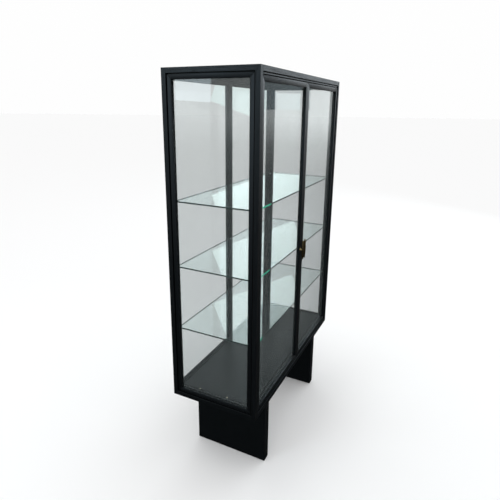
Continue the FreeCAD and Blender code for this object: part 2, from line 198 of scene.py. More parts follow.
def card_place(bearing, climb, distance, width, height, lean, mirror=None):
    """The matrix of a card seen from the camera's place at a bearing from +X and a climb, in degrees, both
    for its lower left corner.  lean turns it clockwise.  mirror is (axis, place) of a pane."""
    turn, rise, roll = math.radians(bearing), math.radians(climb), math.radians(lean)
    ahead = Vector((math.cos(turn), math.sin(turn), 0.0))
    right = ahead.cross(Vector((0.0, 0.0, 1.0)))
    across = right * math.cos(roll) - Vector((0.0, 0.0, math.sin(roll)))
    up = right * math.sin(roll) + Vector((0.0, 0.0, math.cos(roll)))
    centre = CAMERA_PLACE + ahead * distance + Vector((0.0, 0.0, distance * math.tan(rise)))
    centre += across * width / 2 + up * height / 2
    if mirror:
        axis, place = mirror
        centre[axis] = 2 * place - centre[axis]
        for vector in (up, ahead):
            vector[axis] = -vector[axis]
    return Matrix.Translation(centre) @ Matrix((up.cross(ahead), up, ahead)).transposed().to_4x4()


def make_lamp(name, radiance, colour, place, width, height):
    """A lamp the size of its card, which the camera doesn't see."""
    data = bpy.data.lights.new(name, "AREA")
    data.shape = "RECTANGLE"
    data.size, data.size_y = width, height
    data.energy = radiance * math.pi * width * height
    data.color = colour
    lamp = bpy.data.objects.new(name, data)
    lamp.matrix_world = place
    lamp.visible_camera = False
    bpy.context.scene.collection.objects.link(lamp)


def make_sheet(name, radiance, colour, place, width, height, only_mirrored):
    """A sheet of an even brightness that lights nothing: only the camera sees it, or only mirror rays do."""
    glow, tree = finish_shader(name)
    shade = add(tree, "ShaderNodeEmission", {"Color": (*colour, 1.0), "Strength": radiance})
    add(tree, "ShaderNodeOutputMaterial", {"Surface": shade.outputs[0]})
    sheet = flat_sheet(name, place, width, height, glow)
    sheet.visible_transmission = sheet.visible_diffuse = sheet.visible_shadow = False
    sheet.visible_camera = not only_mirrored
    sheet.visible_glossy = only_mirrored


make_sky()
make_floor()
PALE_MINT = (0.90, 1.0, 0.985)
MINT = (0.87, 1.0, 0.985)
PALE_BLUE = (0.80, 0.92, 1.0)
FRONT_PANE = (1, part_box("left_door_glass")[0].y)
SIDE_PANE = (0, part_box("left_side_glass")[0].x)
# name, bearing, climb, distance, width, height, lean, radiance, colour, pane that shows it
LAMPS = [("window_behind", 31.35, 0.98, 4.05, 0.86, 2.0, 20.0, 1.32, MINT, None),
         ("window_in_front", 22.8, -0.05, 7.6, 0.40, 0.27, 0.0, 0.85, PALE_MINT, FRONT_PANE),
         ("softbox_in_front", 33.0, 3.6, 7.6, 3.6, 2.6, 0.0, 1.9, PALE_BLUE, FRONT_PANE),
         ("window_at_side", 35.9, 1.0, 5.0, 0.40, 1.6, 3.0, 2.6, PALE_BLUE, SIDE_PANE),
         ("softbox_at_side", 38.0, 4.2, 5.0, 1.3, 1.2, 0.0, 2.6, PALE_BLUE, SIDE_PANE)]
SHEETS = [("window_seen", 31.35, 0.98, 4.05, 0.50, 0.27, 20.0, 1.35, PALE_MINT, None),
          ("grey_flag", 29.0, -0.05, 9.0, 1.66, 0.58, 0.0, 0.35, PALE_BLUE, FRONT_PANE)]
for name, bearing, climb, distance, width, height, lean, radiance, colour, pane in LAMPS:
    place = card_place(bearing, climb, distance, width, height, lean, pane)
    make_lamp(name, radiance, colour, place, width, height)
for name, bearing, climb, distance, width, height, lean, radiance, colour, pane in SHEETS:
    place = card_place(bearing, climb, distance, width, height, lean, pane)
    make_sheet(name, radiance, colour, place, width, height, only_mirrored=pane is not None)
print("studio: floor, sky,", len(LAMPS), "lamps and", len(SHEETS), "sheets")

# %% [markdown]
# ## Black-stained ash
#
# The whole case is one wood: ash or oak, stained black and finished satin, so its open grain still shows as
# fine grooves.  Each board carries a vector called grain, which measures along the board, across it and
# through it.  The wood is a solid pattern in those three measures, so the grain runs along every member,
# turns at a mitre and shows as dots on end grain, as it does in real wood.  The arrises are a second finish
# in which the stain is rubbed a little thin, and the floor is a third, with a paler and greyer stain.

# %% Wood finishes
RING_WIDTH = 5.5 * MM
PORE_LENGTH = 28.0 * MM
PORE_WIDTH = 0.55 * MM
STAIN_DARK = (0.0010, 0.0014, 0.0018, 1.0)
STAIN_LIGHT = (0.0032, 0.0042, 0.0048, 1.0)
STAIN_PORE = (0.0006, 0.0008, 0.0010, 1.0)
STAIN_SHEEN = (0.74, 0.90, 1.0, 1.0)
STAIN_RUBBED = (0.014, 0.014, 0.013, 1.0)
STAIN_FLOOR = (0.015, 0.0165, 0.0150, 1.0)
RING_LEAN = 0.45                       # how far the rings lean through a board's thickness
RING_SWAY = 30.0 * MM
PORE_DEPTH = 0.18 * MM
PORE_DULLS = 0.20                      # roughness that a pore adds


def stretched_noise(tree, vector, along, across, detail, seed):
    """Noise drawn out along the grain; along and across are the size of its marks."""
    scaled = add(tree, "ShaderNodeMapping", {"Vector": vector, "Location": (seed, seed * 1.7, seed * 0.6),
                                             "Scale": (1 / along, 1 / across, 1 / across)})
    return add(tree, "ShaderNodeTexNoise", {"Vector": scaled.outputs[0], "Scale": 1.0, "Detail": detail,
                                            "Roughness": 0.55}).outputs["Fac"]


def ramp(tree, value, low, high, out_low=0.0, out_high=1.0):
    """A value from low to high carried over to out_low to out_high, and held beyond them."""
    return add(tree, "ShaderNodeMapRange", {"Value": value, "From Min": low, "From Max": high,
                                            "To Min": out_low, "To Max": out_high}).outputs["Result"]


def mixed(tree, share, first, second):
    """The first colour, with a share of the second."""
    return add(tree, "ShaderNodeMix", {"Factor": share, 6: first, 7: second}, data_type="RGBA").outputs[2]


def black_ash(name, light=STAIN_LIGHT, rubbed=0.0):
    """The wood: light is the paler stain between the pores, rubbed how much of it has worn thin."""
    made, tree = finish_shader(name)
    grain = add(tree, "ShaderNodeAttribute", attribute_name="grain").outputs["Vector"]
    split = add(tree, "ShaderNodeSeparateXYZ", {0: grain})
    sway = stretched_noise(tree, grain, 0.26, 0.035, 2.0, 3.1)
    lean = maths(tree, "MULTIPLY_ADD", split.outputs["Z"], RING_LEAN, split.outputs["Y"])
    depth = maths(tree, "MULTIPLY_ADD", sway, RING_SWAY, lean)
    ring = maths(tree, "FRACT", maths(tree, "DIVIDE", depth, RING_WIDTH))
    early = ramp(tree, ring, 0.0, 0.55, 1.0, 0.0)
    streak = stretched_noise(tree, grain, 0.12, 1.6 * MM, 3.0, 7.7)
    pore_noise = stretched_noise(tree, grain, PORE_LENGTH, PORE_WIDTH, 1.0, 1.3)
    pore_floor = ramp(tree, early, 0.0, 1.0, 0.66, 0.54)
    pores = ramp(tree, maths(tree, "SUBTRACT", pore_noise, pore_floor), 0.0, 0.05)
    tone = maths(tree, "MULTIPLY", ramp(tree, streak, 0.3, 0.75), ramp(tree, early, 0.0, 1.0, 1.0, 0.35))
    stain = mixed(tree, tone, STAIN_DARK, light)
    colour = mixed(tree, pores, stain, STAIN_PORE)
    if rubbed:
        wear = stretched_noise(tree, grain, 0.05, 0.012, 3.0, 11.0)
        colour = mixed(tree, ramp(tree, wear, 0.42, 0.75, 0.0, rubbed), colour, STAIN_RUBBED)
    gloss = maths(tree, "MULTIPLY_ADD", pores, PORE_DULLS, ramp(tree, streak, 0.25, 0.75, 0.30, 0.50))
    relief = maths(tree, "MULTIPLY_ADD", pores, -1.0, maths(tree, "MULTIPLY", early, -0.18))
    bump = add(tree, "ShaderNodeBump", {"Strength": 0.5, "Distance": PORE_DEPTH, "Height": relief})
    shade = add(tree, "ShaderNodeBsdfPrincipled", {"Base Color": colour, "Roughness": gloss,
                                                   "Specular IOR Level": 0.28,
                                                   "Specular Tint": STAIN_SHEEN, "Normal": bump.outputs[0]})
    add(tree, "ShaderNodeOutputMaterial", {"Surface": shade.outputs[0]})
    return made


BLACK_ASH = black_ash("black_ash")
RUBBED_ARRIS = black_ash("black_ash_arris", rubbed=0.5)
FLOOR_ASH = black_ash("black_ash_floor", STAIN_FLOOR)
print("wood:", BLACK_ASH.name, RUBBED_ARRIS.name, FLOOR_ASH.name)

# %% [markdown]
# ## Glass
#
# A pane is two polished faces.  Each face lets most light straight through, takes a little of it as a grey
# green tint, and mirrors more the flatter it is seen.  A straight-through shader mixed with a mirror by the
# Facing output does just that, keeps the inside of the case bright, and is quiet at few samples.  A very
# thin film of dust on the panes greys what is dark behind them.
#
# The shelves have a finish each.  They differ only in how much a face mirrors when it is seen square on: the
# upper shelf is seen so flat that the glancing part is enough, and the two below need a share of their own.
# The polished edges are another finish again: looking into an edge is looking through half a metre of glass,
# so it is deep green.  At the left end of the front a painted glow, emerald, stands for light coming in from
# the side.

# %% Glass finishes
PANE_TINT = (0.893, 0.903, 0.903, 1.0)
SHELF_TINT = (0.915, 0.945, 0.935, 1.0)
PANE_MIRROR = 0.04                     # what one face mirrors, seen square on
SHELF_MIRROR = {"shelf_upper": 0.0, "shelf_middle": 0.12, "shelf_lower": 0.13}
MIRROR_COLOUR = (0.94, 1.0, 1.0, 1.0)
DUST = (0.78, 0.88, 0.88, 1.0)
DUST_THIN = 0.008
DUST_THICK = 0.026
# painted glow: a bright emerald put into the edge colour, standing in for light that comes in from the side
EMERALD_PAINTED_GLOW = (0.0, 0.62, 0.36, 1.0)
PAINTED_GLOW_FADES = (-0.345, -0.325)       # X where the painted glow at the end of a shelf starts to fade, and where it ends
PAINTED_GLOW_SHORTER = 0.062                # on the lowest shelf
SHELF_HEIGHTS = (0.95, 0.67)           # Z of the middle shelf and of the lowest one
PAINTED_GLOW_FRONT = (-0.165, -0.171)         # Y where the painted glow starts near the front edge, and where it is full


def clear_glass(name, tint, head_on, dusty):
    """One polished face: head_on is its mirrored share, seen square on."""
    made, tree = finish_shader(name)
    facing = add(tree, "ShaderNodeLayerWeight", {"Blend": 0.5}).outputs["Facing"]
    glance = maths(tree, "POWER", facing, 5.0)
    share = maths(tree, "MULTIPLY_ADD", glance, 1.0 - head_on, head_on)
    place = add(tree, "ShaderNodeTexCoord").outputs["Object"]
    haze = add(tree, "ShaderNodeTexNoise", {"Vector": place, "Scale": 3.5, "Detail": 3.0}).outputs["Fac"]
    rough = ramp(tree, haze, 0.35, 0.8, 0.0, 0.05)
    through = add(tree, "ShaderNodeBsdfTransparent", {"Color": tint})
    mirror = add(tree, "ShaderNodeBsdfGlossy", {"Color": MIRROR_COLOUR, "Roughness": rough})
    both = add(tree, "ShaderNodeMixShader", {0: share, 1: through.outputs[0], 2: mirror.outputs[0]})
    if dusty:
        dust = add(tree, "ShaderNodeBsdfDiffuse", {"Color": DUST})
        film = ramp(tree, haze, 0.3, 0.8, DUST_THIN, DUST_THICK)
        both = add(tree, "ShaderNodeMixShader", {0: film, 1: both.outputs[0], 2: dust.outputs[0]})
    add(tree, "ShaderNodeOutputMaterial", {"Surface": both.outputs[0]})
    return made


def green_edge(name, deep, light, glow=0.0):
    """Polished edge: deep to light green by a slow drift, and a painted glow, brighter green, towards the
    case's left end.
    """
    made, tree = finish_shader(name)
    place = add(tree, "ShaderNodeTexCoord").outputs["Object"]
    drift = add(tree, "ShaderNodeTexNoise", {"Vector": place, "Scale": 9.0, "Detail": 2.0}).outputs["Fac"]
    colour = mixed(tree, drift, deep, light)
    # painted glow: light coming in from the side, painted as brighter emerald in the edge's colour by position
    if glow:
        split = add(tree, "ShaderNodeSeparateXYZ", {0: place})
        lower = ramp(tree, split.outputs["Z"], *SHELF_HEIGHTS, 0.0, PAINTED_GLOW_SHORTER)
        reach = maths(tree, "ADD", split.outputs["X"], lower)
        end = ramp(tree, reach, *PAINTED_GLOW_FADES, glow, 0.0)
        front = ramp(tree, split.outputs["Y"], *PAINTED_GLOW_FRONT)
        colour = mixed(tree, maths(tree, "MULTIPLY", end, front), colour, EMERALD_PAINTED_GLOW)
    shade = add(tree, "ShaderNodeBsdfPrincipled", {"Base Color": colour, "Roughness": 0.12,
                                                   "Specular IOR Level": 0.5})
    add(tree, "ShaderNodeOutputMaterial", {"Surface": shade.outputs[0]})
    return made


PANE_GLASS = clear_glass("pane_glass", PANE_TINT, PANE_MIRROR, True)
SHELF_GLASS = {name: clear_glass(name + "_glass", SHELF_TINT, share, False)
               for name, share in SHELF_MIRROR.items()}
# the shelves' edges: deep green glass with the painted glow of side light at the left front end
SHELF_EDGE_WITH_PAINTED_GLOW = green_edge("shelf_edge_painted_glow", (0.004, 0.014, 0.012, 1.0), (0.010, 0.034, 0.028, 1.0), 1.0)
PANE_EDGE = green_edge("pane_edge", (0.002, 0.006, 0.005, 1.0), (0.004, 0.012, 0.010, 1.0))
print("glass:", PANE_GLASS.name, list(SHELF_GLASS), SHELF_EDGE_WITH_PAINTED_GLOW.name, PANE_EDGE.name)

# %% [markdown]
# ## Metals, rubber and plastic
#
# The handles are brass that has been left to darken, and their stems are rubbed bright.  The floor's pins are
# pale brass.  The other fittings are zinc, nickel, turned brass, clear rubber and black nylon.  All of these
# are one recipe, a base colour that a fine noise pushes towards a second one, with the roughness moving the
# same way.

# %% Fitting finishes
def fitting(name, clean, dull, metal, rough_clean, rough_dull, mark=0.006, low=0.40, high=0.68):
    """Two-tone finish: mark is the size of the blotches, low to high where they fade in."""
    made, tree = finish_shader(name)
    place = add(tree, "ShaderNodeTexCoord").outputs["Object"]
    blotch = add(tree, "ShaderNodeTexNoise", {"Vector": place, "Scale": 1 / mark, "Detail": 5.0,
                                              "Roughness": 0.6}).outputs["Fac"]
    share = ramp(tree, blotch, low, high)
    fine = add(tree, "ShaderNodeTexNoise", {"Vector": place, "Scale": 2200.0, "Detail": 2.0}).outputs["Fac"]
    bump = add(tree, "ShaderNodeBump", {"Strength": 0.12, "Distance": 0.05 * MM, "Height": fine})
    shade = add(tree, "ShaderNodeBsdfPrincipled", {
        "Base Color": mixed(tree, share, clean, dull), "Metallic": metal,
        "Roughness": ramp(tree, share, 0.0, 1.0, rough_clean, rough_dull), "Normal": bump.outputs[0]})
    add(tree, "ShaderNodeOutputMaterial", {"Surface": shade.outputs[0]})
    return made


AGED_BRASS = fitting("aged_brass", (0.20, 0.150, 0.072, 1.0), (0.045, 0.038, 0.023, 1.0), 1.0, 0.22, 0.42)
RUBBED_BRASS = fitting("rubbed_brass", (0.62, 0.50, 0.27, 1.0), (0.26, 0.20, 0.10, 1.0), 1.0, 0.20, 0.36)
TURNED_BRASS = fitting("turned_brass", (0.80, 0.62, 0.30, 1.0), (0.50, 0.37, 0.17, 1.0), 1.0, 0.18, 0.32)
PIN_BRASS = fitting("pin_brass", (0.96, 0.92, 0.74, 1.0), (0.90, 0.80, 0.52, 1.0), 1.0, 0.30, 0.45)
ZINC = fitting("zinc_plate", (0.66, 0.67, 0.68, 1.0), (0.45, 0.46, 0.47, 1.0), 1.0, 0.28, 0.42, 0.004)
NICKEL = fitting("nickel_plate", (0.75, 0.73, 0.69, 1.0), (0.62, 0.60, 0.57, 1.0), 1.0, 0.12, 0.22)
CLEAR_RUBBER = fitting("clear_rubber", (0.66, 0.69, 0.68, 1.0), (0.56, 0.59, 0.58, 1.0), 0.0, 0.22, 0.34)
BLACK_NYLON = fitting("black_nylon", (0.020, 0.020, 0.021, 1.0), (0.032, 0.032, 0.033, 1.0), 0.0, 0.40, 0.55,
                      0.002)
FITTINGS = (AGED_BRASS, RUBBED_BRASS, TURNED_BRASS, PIN_BRASS, ZINC, NICKEL, CLEAR_RUBBER, BLACK_NYLON)
print("fittings:", [finish.name for finish in FITTINGS])

# %% [markdown]
# ## Placing a piece
#
# Every finished piece is a plain mesh at the origin.  It rides on the body of the node that it stands for,
# and hides it.  Solids inside one node, such as the four bars of a border, are found
# again as islands of the node's own mesh.

# %% Helpers for pieces
def settle(mesh, node, materials):
    """Make the mesh the piece that stands for a node."""
    for made in materials:
        mesh.materials.append(made)
    piece = bpy.data.objects.new(node + "_made", mesh)
    bpy.context.scene.collection.objects.link(piece)
    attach(piece, BODY_OF[node])
    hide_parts(node)
    return piece


def islands(node):
    """(lowest, highest) corner of each separate solid of a node, in a fixed order."""
    bm = bmesh.new()
    bm.from_mesh(frame["nodes"][node].data)
    bmesh.ops.remove_doubles(bm, verts=bm.verts, dist=0.001 * MM)
    left = set(bm.verts)
    found = []
    while left:
        start = left.pop()
        group = [start]
        waiting = [start]
        while waiting:
            here = waiting.pop()
            for edge in here.link_edges:
                other = edge.other_vert(here)
                if other in left:
                    left.remove(other)
                    group.append(other)
                    waiting.append(other)
        low = Vector([min(v.co[i] for v in group) for i in range(3)])
        high = Vector([max(v.co[i] for v in group) for i in range(3)])
        found.append((low, high))
    bm.free()
    return sorted(found, key=lambda pair: [round(c, 5) for c in (*pair[0], *pair[1])])


# %% [markdown]
# ## Boards
#
# Posts, rails, boards, the floor and the legs are straight timber.  A board is a block with its arrises
# eased: the bevel gives a thin strip that catches light, and that strip takes the rubbed finish.  The grain
# vector is laid along the longest side, with an offset of its own so that no two boards repeat.

# %% Timber helper
ARRIS = 0.7 * MM
ARRIS_STEPS = 2
GRAIN_SPREAD = 5.0


def ease(bm, width=ARRIS, strip=1):
    """Round every sharp edge a little; the new faces take material number strip."""
    bmesh.ops.recalc_face_normals(bm, faces=bm.faces)
    sharp = [e for e in bm.edges if len(e.link_faces) == 2 and e.calc_face_angle(0.0) > 0.5]
    result = bmesh.ops.bevel(bm, geom=sharp, offset=width, segments=ARRIS_STEPS, profile=0.5,
                             affect="EDGES", material=strip, clamp_overlap=True)
    for face in result["faces"]:
        face.smooth = True


def add_block(bm, low, high, picks, axes=None):
    """A block between two corners with its grain vector.  axes gives along, across and through."""
    size = high - low
    if axes is None:
        axes = sorted(range(3), key=lambda i: -size[i])
    layer = bm.verts.layers.float_vector["grain"]
    made = bmesh.ops.create_cube(bm, size=1.0)["verts"]
    shift = Vector([picks.uniform(0, GRAIN_SPREAD) for _ in range(3)])
    for v in made:
        v.co = Vector([low[i] + (v.co[i] + 0.5) * size[i] for i in range(3)])
        v[layer] = Vector([v.co[axes[i]] for i in range(3)]) + shift
    return made


def timber(node, seed, axes=None, arris=ARRIS, blocks=None, finishes=(BLACK_ASH, RUBBED_ARRIS)):
    """The blocks of a node, or other blocks given for it, with eased arrises."""
    bm = bmesh.new()
    bm.verts.layers.float_vector.new("grain")
    picks = random.Random(seed)
    for low, high in blocks or islands(node):
        add_block(bm, low, high, picks, axes)
    ease(bm, arris)
    mesh = bpy.data.meshes.new(node + "_made")
    bm.to_mesh(mesh)
    bm.free()
    return settle(mesh, node, finishes)


# %% [markdown]
# ### The straight pieces
#
# The posts, rails, boards and the stop strip need no more than their boxes.  The floor board has finer arrises
# and its own finish, and a leg's grain runs up it.  The head is the strip that the doors hang from: a rebate
# along its top front edge leaves the shadow line over the doors.

# %% Case, floor and legs
STRAIGHT = ["post_front_left", "post_front_right", "post_back_left", "post_back_right",
            "top_rail_front", "top_rail_back", "top_rail_left", "top_rail_right",
            "bottom_rail_front", "bottom_rail_back", "bottom_rail_left", "bottom_rail_right",
            "top_board", "bottom_board", "door_stop"]
LEG_AXES = (2, 1, 0)                   # along, across and through: up, to the back and sideways
LEG_ARRIS = 1.2 * MM
FLOOR_ARRIS = 0.3 * MM
for number, node in enumerate(STRAIGHT):
    timber(node, 100 + number)
timber("floor_board", 150, arris=FLOOR_ARRIS, finishes=(FLOOR_ASH, FLOOR_ASH))
for number, node in enumerate(["left_leg", "right_leg"]):
    timber(node, 200 + number, LEG_AXES, LEG_ARRIS)

HEAD_GROOVE = 3.0 * MM
GROOVE_DEPTH = 8.0 * MM
head_low, head_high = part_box("door_head")
strip = (head_low, Vector((head_high.x, head_high.y, head_high.z - HEAD_GROOVE)))
backing = (Vector((head_low.x, head_low.y + GROOVE_DEPTH, head_high.z - HEAD_GROOVE)), head_high)
timber("door_head", 300, blocks=[strip, backing])
print("timber pieces:", len(STRAIGHT) + 4)

# %% [markdown]
# ## Mitred frames, by Geometry Nodes
#
# All six glazed frames, and the beads that hold their glass, follow one rule: a section carried round a
# rectangle and mitred at the corners.  The section is a closed curve in which X is the distance in from the
# outer edge and Y the depth behind the face.  The tree sweeps it along a straight run, then slides each
# point towards the middle of the run by its own inset, which cuts the mitre exactly.  It does so four times,
# a quarter turn apart, and stores the grain vector while each bar is still straight.

# %% The mitred frame tree
def mitred_frame_tree():
    """A section, given as a curve, carried round a rectangle of a width and a height."""
    tree = bpy.data.node_groups.new("mitred_frame", "GeometryNodeTree")
    face = tree.interface
    face.new_socket("Geometry", in_out="INPUT", socket_type="NodeSocketGeometry")
    face.new_socket("Width", in_out="INPUT", socket_type="NodeSocketFloat")
    face.new_socket("Height", in_out="INPUT", socket_type="NodeSocketFloat")
    face.new_socket("Seed", in_out="INPUT", socket_type="NodeSocketInt")
    face.new_socket("Material", in_out="INPUT", socket_type="NodeSocketMaterial")
    face.new_socket("Geometry", in_out="OUTPUT", socket_type="NodeSocketGeometry")
    given = add(tree, "NodeGroupInput").outputs
    here = add(tree, "GeometryNodeInputPosition").outputs[0]
    section = add(tree, "GeometryNodeStoreNamedAttribute", {"Geometry": given["Geometry"], "Name": "section",
                  "Value": here}, data_type="FLOAT_VECTOR", domain="POINT").outputs[0]
    joined = add(tree, "GeometryNodeJoinGeometry")
    for quarter in range(4):
        length, other = given["Width"], given["Height"]
        if quarter % 2:
            length, other = other, length
        half = maths(tree, "MULTIPLY", length, 0.5)
        start = add(tree, "ShaderNodeCombineXYZ", {"X": maths(tree, "MULTIPLY", half, -1.0)})
        end = add(tree, "ShaderNodeCombineXYZ", {"X": half})
        run = add(tree, "GeometryNodeCurvePrimitiveLine", {"Start": start.outputs[0], "End": end.outputs[0]})
        along = add(tree, "ShaderNodeSeparateXYZ", {0: here}).outputs["X"]
        run = add(tree, "GeometryNodeStoreNamedAttribute", {"Geometry": run.outputs[0], "Name": "run",
                  "Value": along}, data_type="FLOAT", domain="POINT").outputs[0]
        bar = add(tree, "GeometryNodeCurveToMesh", {"Curve": run, "Profile Curve": section,
                                                    "Fill Caps": True}).outputs[0]
        at = add(tree, "GeometryNodeInputNamedAttribute", {"Name": "run"}, data_type="FLOAT")
        at = at.outputs["Attribute"]
        cut = add(tree, "GeometryNodeInputNamedAttribute", {"Name": "section"},
                  data_type="FLOAT_VECTOR").outputs["Attribute"]
        cut = add(tree, "ShaderNodeSeparateXYZ", {0: cut})
        inset, depth = cut.outputs["X"], cut.outputs["Y"]
        side = maths(tree, "SIGN", at)
        x = maths(tree, "SUBTRACT", at, maths(tree, "MULTIPLY", side, inset))
        z = maths(tree, "SUBTRACT", inset, maths(tree, "MULTIPLY", other, 0.5))
        place = add(tree, "ShaderNodeCombineXYZ", {"X": x, "Y": depth, "Z": z})
        bar = add(tree, "GeometryNodeSetPosition", {"Geometry": bar, "Position": place.outputs[0]}).outputs[0]
        shift = add(tree, "FunctionNodeRandomValue", {"Min": (0.0, 0.0, 0.0), "Max": (GRAIN_SPREAD,) * 3,
                    "ID": quarter, "Seed": given["Seed"]}, data_type="FLOAT_VECTOR").outputs["Value"]
        measured = add(tree, "ShaderNodeCombineXYZ", {"X": x, "Y": inset, "Z": depth})
        grain = add(tree, "ShaderNodeVectorMath", {0: measured.outputs[0], 1: shift}, operation="ADD")
        bar = add(tree, "GeometryNodeStoreNamedAttribute", {"Geometry": bar, "Name": "grain",
                  "Value": grain.outputs[0]}, data_type="FLOAT_VECTOR", domain="POINT").outputs[0]
        turned = add(tree, "GeometryNodeTransform", {"Geometry": bar,
                                                     "Rotation": (0.0, quarter * math.pi / 2, 0.0)})
        tree.links.new(turned.outputs[0], joined.inputs[0])
    real = add(tree, "GeometryNodeRealizeInstances", {"Geometry": joined.outputs[0]})
    shown = add(tree, "GeometryNodeSetMaterial", {"Geometry": real.outputs[0], "Material": given["Material"]})
    add(tree, "NodeGroupOutput", {"Geometry": shown.outputs[0]})
    return tree


MITRED_FRAME = mitred_frame_tree()
inputs = [socket.name for socket in MITRED_FRAME.interface.items_tree if socket.in_out == "INPUT"]
print("tree:", MITRED_FRAME.name, "inputs", inputs)

# %% [markdown]
# ### From tree to plain mesh
#
# A modifier's inputs are set by each socket's identifier, because names may repeat.  The evaluated result
# becomes a plain mesh, and the curve or the points that carried the modifier are deleted.

# %% Running a tree
def set_inputs(modifier, values):
    sockets = {s.name: s.identifier for s in modifier.node_group.interface.items_tree if s.in_out == "INPUT"}
    for name, value in values.items():
        modifier[sockets[name]] = value


def grown(carrier, tree, values):
    """The plain mesh that a tree makes on a carrier object, which is deleted afterwards."""
    modifier = carrier.modifiers.new("grow", "NODES")
    modifier.node_group = tree
    set_inputs(modifier, values)
    bpy.context.scene.collection.objects.link(carrier)
    bpy.context.view_layer.update()
    graph = bpy.context.evaluated_depsgraph_get()
    seen = carrier.evaluated_get(graph)
    mesh = bpy.data.meshes.new_from_object(seen, preserve_all_data_layers=True, depsgraph=graph)
    carrier.modifiers.remove(modifier)
    bpy.data.objects.remove(carrier)
    if not mesh.polygons:
        raise ValueError(tree.name + " made nothing")
    return mesh


def outline(points):
    """A closed flat curve object through (x, y) points."""
    data = bpy.data.curves.new("section", "CURVE")
    data.dimensions = "3D"
    spline = data.splines.new("POLY")
    spline.points.add(len(points) - 1)
    for point, (x, y) in zip(spline.points, points):
        point.co = (x, y, 0.0, 1.0)
    spline.use_cyclic_u = True
    return bpy.data.objects.new("section", data)


# %% [markdown]
# ### The six glazed panels
#
# A fixed frame has a rebate on its outer edge, which stands as a dark shadow line between it and the post.
# A door's frame is plain there.  Both are rebated inside for the glass, with a bead behind it.  The sizes are
# read back from the boxes of the frame, the pane and the beads; only the rebate and the shadow line are
# given, because no box shows them.

# %% Panels
REBATE = 6.0 * MM
SHADOW_LINE = 4.0 * MM
SHADOW_DEPTH = 8.0 * MM
# quarter turns from a panel that faces the front
PANELS = {"left_side": 3, "right_side": 1, "back_left": 2, "back_right": 2, "left_door": 0, "right_door": 0}


def panel_sizes(name, turns):
    """Width, height, depth, shoulder and glass recess of a panel, measured on its boxes."""
    low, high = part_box(name + "_frame")
    across = 0 if turns % 2 == 0 else 1
    into = 1 - across
    bead_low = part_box(name + "_beads")[0]
    glass_low, glass_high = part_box(name + "_glass")
    outward_low = turns in (0, 3)
    recess = glass_low[into] - low[into] if outward_low else high[into] - glass_high[into]
    return {"width": high[across] - low[across], "height": high.z - low.z, "depth": high[into] - low[into],
            "shoulder": bead_low.z - low.z, "recess": recess, "glass": glass_high[into] - glass_low[into],
            "low": low, "high": high}


def panel_place(sizes, turns):
    """The matrix that carries a panel from the origin, facing front, to its place."""
    middle = (sizes["low"] + sizes["high"]) / 2
    if turns % 2:
        middle.x = sizes["high"].x if turns == 1 else sizes["low"].x
    else:
        middle.y = sizes["high"].y if turns == 2 else sizes["low"].y
    return Matrix.Translation(middle) @ Matrix.Rotation(turns * math.pi / 2, 4, "Z")


def mitred(node, points, width, height, place, seed, arris=ARRIS, finishes=(BLACK_ASH, RUBBED_ARRIS)):
    """A mitred frame with a section through the points, moved to its place, with eased arrises."""
    mesh = grown(outline(points), MITRED_FRAME, {"Width": width, "Height": height, "Seed": seed,
                                                 "Material": BLACK_ASH})
    mesh.transform(place)
    bm = bmesh.new()
    bm.from_mesh(mesh)
    bmesh.ops.remove_doubles(bm, verts=bm.verts, dist=0.0)
    ease(bm, arris)
    bm.to_mesh(mesh)
    bm.free()
    mesh.materials.clear()
    return settle(mesh, node, finishes)


def glazed_panel(name, turns, seed):
    """The frame and the beads of one panel."""
    sizes = panel_sizes(name, turns)
    shoulder, depth, recess = sizes["shoulder"], sizes["depth"], sizes["recess"]
    inner = shoulder + REBATE
    outer = [(0.0, 0.0), (0.0, depth)]
    if "door" not in name:
        outer = [(SHADOW_LINE, 0.0), (SHADOW_LINE, SHADOW_DEPTH), (0.0, SHADOW_DEPTH), (0.0, depth)]
    section = outer + [(shoulder, depth), (shoulder, recess), (inner, recess), (inner, 0.0)]
    place = panel_place(sizes, turns)
    mitred(name + "_frame", section, sizes["width"], sizes["height"], place, seed)
    back = recess + sizes["glass"]
    bead = [(shoulder, back), (inner, back), (inner, depth), (shoulder, depth)]
    mitred(name + "_beads", bead, sizes["width"], sizes["height"], place, seed + 1, ARRIS / 2)
    return sizes


for number, (name, turns) in enumerate(PANELS.items()):
    measured = glazed_panel(name, turns, 10 * number)
    print(name, "panel", round(measured["width"], 3), "x", round(measured["height"], 3), "m, glass",
          round(measured["glass"] / MM, 1), "mm, recess", round(measured["recess"] / MM, 1), "mm")

# %% [markdown]
# ### The floor's border
#
# The floor board lies inside a narrow border with an open seam between them, which shows as a fine dark
# line.  The border is the same mitred frame laid flat, with a plain section.  It is drawn a little narrower
# than in the working model, where the seam is 2 mm, so that the line doesn't fade from a distance.

# %% Floor border
SEAM = 3.4 * MM                        # as drawn
border_low, border_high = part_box("floor_border")
border_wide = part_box("floor_board")[0].x - SEAM - border_low.x
border_thick = border_high.z - border_low.z
border_middle = (border_low + border_high) / 2
border_middle.z = border_high.z
border_place = Matrix.Translation(border_middle) @ Matrix.Rotation(-math.pi / 2, 4, "X")
mitred("floor_border", [(0.0, 0.0), (0.0, border_thick), (border_wide, border_thick), (border_wide, 0.0)],
       border_high.x - border_low.x, border_high.y - border_low.y, border_place, 90, FLOOR_ARRIS,
       (FLOOR_ASH, FLOOR_ASH))
print("floor border", round(border_wide / MM, 1), "mm wide,", round(border_thick / MM, 1), "mm thick")

# %% [markdown]
# ## Panes and shelves
#
# A pane is a block too, with its edges just dubbed.  The two broad faces take the clear finish and the rim
# takes the green one.  A shelf's rim is polished and shows all round, so its arrises are a little wider.
#
# Light for the inside of the case has up to ten clear faces to cross, and a render counts them and gives up.
# Glass casts next to no shadow, so the sheets are left out of shadow and bounce rays, and the shelves out of
# mirror rays too.  The inside is then as bright as it should be.

